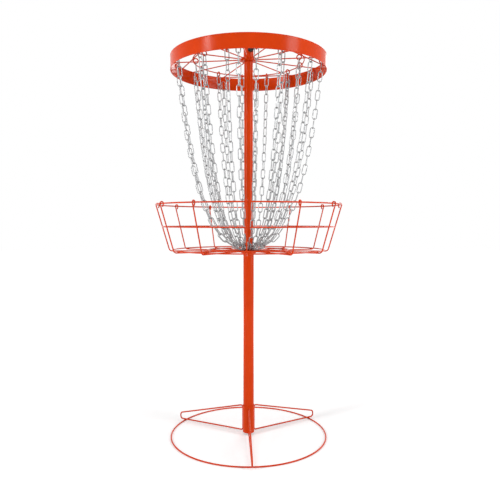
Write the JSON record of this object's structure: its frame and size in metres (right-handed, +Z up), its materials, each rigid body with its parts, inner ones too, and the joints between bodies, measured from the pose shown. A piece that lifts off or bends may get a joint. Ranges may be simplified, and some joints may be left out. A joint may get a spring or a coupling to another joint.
{
  "type": "disc golf basket",
  "caption": "Portable disc golf target: chains hang from a banded wire rack on a two-part pole and lead into a wire basket, on a wire ring base with loop legs.",
  "frame": {"origin": "on the ground under the pole's axis", "axes": "+Z up along the pole, -Y towards the front"},
  "size_m": [0.674, 0.674, 1.4],
  "materials": {
    "orange_powder_coat": "smooth semi-gloss orange powder coat",
    "zinc_plate": "bright zinc plated wire",
    "black_plastic": "moulded black plastic"
  },
  "bodies": {
    "stand": {"base_ring": "orange_powder_coat", "base_leg_1": "orange_powder_coat", "base_leg_2": "orange_powder_coat", "base_leg_3": "orange_powder_coat", "base_sleeve": "orange_powder_coat", "lower_pole": "orange_powder_coat", "pole_bush": "black_plastic", "basket_hub": "orange_powder_coat", "basket_rim": "orange_powder_coat", "basket_mid_ring": "orange_powder_coat", "basket_floor_ring_outer": "orange_powder_coat", "basket_floor_ring_inner": "orange_powder_coat", "basket_wire_01": "orange_powder_coat", "basket_wire_02": "orange_powder_coat", "basket_wire_03": "orange_powder_coat", "basket_wire_04": "orange_powder_coat", "basket_wire_05": "orange_powder_coat", "basket_wire_06": "orange_powder_coat", "basket_wire_07": "orange_powder_coat", "basket_wire_08": "orange_powder_coat", "basket_wire_09": "orange_powder_coat", "basket_wire_10": "orange_powder_coat", "basket_wire_11": "orange_powder_coat", "basket_wire_12": "orange_powder_coat"},
    "mast": {"upper_pole": "orange_powder_coat", "pole_cap": "black_plastic", "band": "orange_powder_coat", "rack_hub": "orange_powder_coat", "rack_ring": "orange_powder_coat", "rack_spokes": "orange_powder_coat", "rack_braces": "orange_powder_coat", "inner_eyes": "orange_powder_coat", "outer_eyes": "orange_powder_coat", "chain_ring": "zinc_plate"},
    "knob": {"lock_knob": "black_plastic"},
    "outer_chain_01": {"outer_chain_01": "zinc_plate"},
    "outer_chain_02": {"outer_chain_02": "zinc_plate"},
    "outer_chain_03": {"outer_chain_03": "zinc_plate"},
    "outer_chain_04": {"outer_chain_04": "zinc_plate"},
    "outer_chain_05": {"outer_chain_05": "zinc_plate"},
    "outer_chain_06": {"outer_chain_06": "zinc_plate"},
    "outer_chain_07": {"outer_chain_07": "zinc_plate"},
    "outer_chain_08": {"outer_chain_08": "zinc_plate"},
    "outer_chain_09": {"outer_chain_09": "zinc_plate"},
    "outer_chain_10": {"outer_chain_10": "zinc_plate"},
    "outer_chain_11": {"outer_chain_11": "zinc_plate"},
    "outer_chain_12": {"outer_chain_12": "zinc_plate"},
    "inner_chain_01": {"inner_chain_01": "zinc_plate"},
    "inner_chain_02": {"inner_chain_02": "zinc_plate"},
    "inner_chain_03": {"inner_chain_03": "zinc_plate"},
    "inner_chain_04": {"inner_chain_04": "zinc_plate"},
    "inner_chain_05": {"inner_chain_05": "zinc_plate"},
    "inner_chain_06": {"inner_chain_06": "zinc_plate"},
    "inner_chain_07": {"inner_chain_07": "zinc_plate"},
    "inner_chain_08": {"inner_chain_08": "zinc_plate"},
    "inner_chain_09": {"inner_chain_09": "zinc_plate"},
    "inner_chain_10": {"inner_chain_10": "zinc_plate"},
    "inner_chain_11": {"inner_chain_11": "zinc_plate"},
    "inner_chain_12": {"inner_chain_12": "zinc_plate"}
  },
  "joints": [
    {"name": "mast_lift", "type": "slide", "parent": "stand", "child": "mast", "axis": [0, 0, 1], "range_m": [0, 0.1]},
    {"name": "knob_turn", "type": "hinge", "parent": "mast", "child": "knob", "pos_m": [0.00662, -0.02307, 1.38], "axis": [0.2756, -0.9613, 0], "range_deg": [-180, 180]},
    {"name": "outer_chain_01_swing", "type": "hinge", "parent": "mast", "child": "outer_chain_01", "pos_m": [0.03193, 0.26005, 1.3308], "axis": [0.0412, 0.3355, 0.9412], "range_deg": [-8, 8]},
    {"name": "outer_chain_02_swing", "type": "hinge", "parent": "mast", "child": "outer_chain_02", "pos_m": [0.15768, 0.20924, 1.3308], "axis": [0.2034, 0.2699, 0.9412], "range_deg": [-8, 8]},
    {"name": "outer_chain_03_swing", "type": "hinge", "parent": "mast", "child": "outer_chain_03", "pos_m": [0.24117, 0.10237, 1.3308], "axis": [0.3111, 0.1321, 0.9412], "range_deg": [-8, 8]},
    {"name": "outer_chain_04_swing", "type": "hinge", "parent": "mast", "child": "outer_chain_04", "pos_m": [0.26005, -0.03193, 1.3308], "axis": [0.3355, -0.0412, 0.9412], "range_deg": [-8, 8]},
    {"name": "outer_chain_05_swing", "type": "hinge", "parent": "mast", "child": "outer_chain_05", "pos_m": [0.20924, -0.15768, 1.3308], "axis": [0.2699, -0.2034, 0.9412], "range_deg": [-8, 8]},
    {"name": "outer_chain_06_swing", "type": "hinge", "parent": "mast", "child": "outer_chain_06", "pos_m": [0.10237, -0.24117, 1.3308], "axis": [0.1321, -0.3111, 0.9412], "range_deg": [-8, 8]},
    {"name": "outer_chain_07_swing", "type": "hinge", "parent": "mast", "child": "outer_chain_07", "pos_m": [-0.03193, -0.26005, 1.3308], "axis": [-0.0412, -0.3355, 0.9412], "range_deg": [-8, 8]},
    {"name": "outer_chain_08_swing", "type": "hinge", "parent": "mast", "child": "outer_chain_08", "pos_m": [-0.15768, -0.20924, 1.3308], "axis": [-0.2034, -0.2699, 0.9412], "range_deg": [-8, 8]},
    {"name": "outer_chain_09_swing", "type": "hinge", "parent": "mast", "child": "outer_chain_09", "pos_m": [-0.24117, -0.10237, 1.3308], "axis": [-0.3111, -0.1321, 0.9412], "range_deg": [-8, 8]},
    {"name": "outer_chain_10_swing", "type": "hinge", "parent": "mast", "child": "outer_chain_10", "pos_m": [-0.26005, 0.03193, 1.3308], "axis": [-0.3355, 0.0412, 0.9412], "range_deg": [-8, 8]},
    {"name": "outer_chain_11_swing", "type": "hinge", "parent": "mast", "child": "outer_chain_11", "pos_m": [-0.20924, 0.15768, 1.3308], "axis": [-0.2699, 0.2034, 0.9412], "range_deg": [-8, 8]},
    {"name": "outer_chain_12_swing", "type": "hinge", "parent": "mast", "child": "outer_chain_12", "pos_m": [-0.10237, 0.24117, 1.3308], "axis": [-0.1321, 0.3111, 0.9412], "range_deg": [-8, 8]},
    {"name": "inner_chain_01_swing", "type": "hinge", "parent": "mast", "child": "inner_chain_01", "pos_m": [0.07105, 0.17587, 1.33207], "axis": [0.0905, 0.2241, 0.9704], "range_deg": [-8, 8]},
    {"name": "inner_chain_02_swing", "type": "hinge", "parent": "mast", "child": "inner_chain_02", "pos_m": [0.14947, 0.11678, 1.33207], "axis": [0.1904, 0.1488, 0.9704], "range_deg": [-8, 8]},
    {"name": "inner_chain_03_swing", "type": "hinge", "parent": "mast", "child": "inner_chain_03", "pos_m": [0.18783, 0.0264, 1.33207], "axis": [0.2393, 0.0336, 0.9704], "range_deg": [-8, 8]},
    {"name": "inner_chain_04_swing", "type": "hinge", "parent": "mast", "child": "inner_chain_04", "pos_m": [0.17587, -0.07105, 1.33207], "axis": [0.2241, -0.0905, 0.9704], "range_deg": [-8, 8]},
    {"name": "inner_chain_05_swing", "type": "hinge", "parent": "mast", "child": "inner_chain_05", "pos_m": [0.11678, -0.14947, 1.33207], "axis": [0.1488, -0.1904, 0.9704], "range_deg": [-8, 8]},
    {"name": "inner_chain_06_swing", "type": "hinge", "parent": "mast", "child": "inner_chain_06", "pos_m": [0.0264, -0.18783, 1.33207], "axis": [0.0336, -0.2393, 0.9704], "range_deg": [-8, 8]},
    {"name": "inner_chain_07_swing", "type": "hinge", "parent": "mast", "child": "inner_chain_07", "pos_m": [-0.07105, -0.17587, 1.33207], "axis": [-0.0905, -0.2241, 0.9704], "range_deg": [-8, 8]},
    {"name": "inner_chain_08_swing", "type": "hinge", "parent": "mast", "child": "inner_chain_08", "pos_m": [-0.14947, -0.11678, 1.33207], "axis": [-0.1904, -0.1488, 0.9704], "range_deg": [-8, 8]},
    {"name": "inner_chain_09_swing", "type": "hinge", "parent": "mast", "child": "inner_chain_09", "pos_m": [-0.18783, -0.0264, 1.33207], "axis": [-0.2393, -0.0336, 0.9704], "range_deg": [-8, 8]},
    {"name": "inner_chain_10_swing", "type": "hinge", "parent": "mast", "child": "inner_chain_10", "pos_m": [-0.17587, 0.07105, 1.33207], "axis": [-0.2241, 0.0905, 0.9704], "range_deg": [-8, 8]},
    {"name": "inner_chain_11_swing", "type": "hinge", "parent": "mast", "child": "inner_chain_11", "pos_m": [-0.11678, 0.14947, 1.33207], "axis": [-0.1488, 0.1904, 0.9704], "range_deg": [-8, 8]},
    {"name": "inner_chain_12_swing", "type": "hinge", "parent": "mast", "child": "inner_chain_12", "pos_m": [-0.0264, 0.18783, 1.33207], "axis": [-0.0336, 0.2393, 0.9704], "range_deg": [-8, 8]}
  ]
}
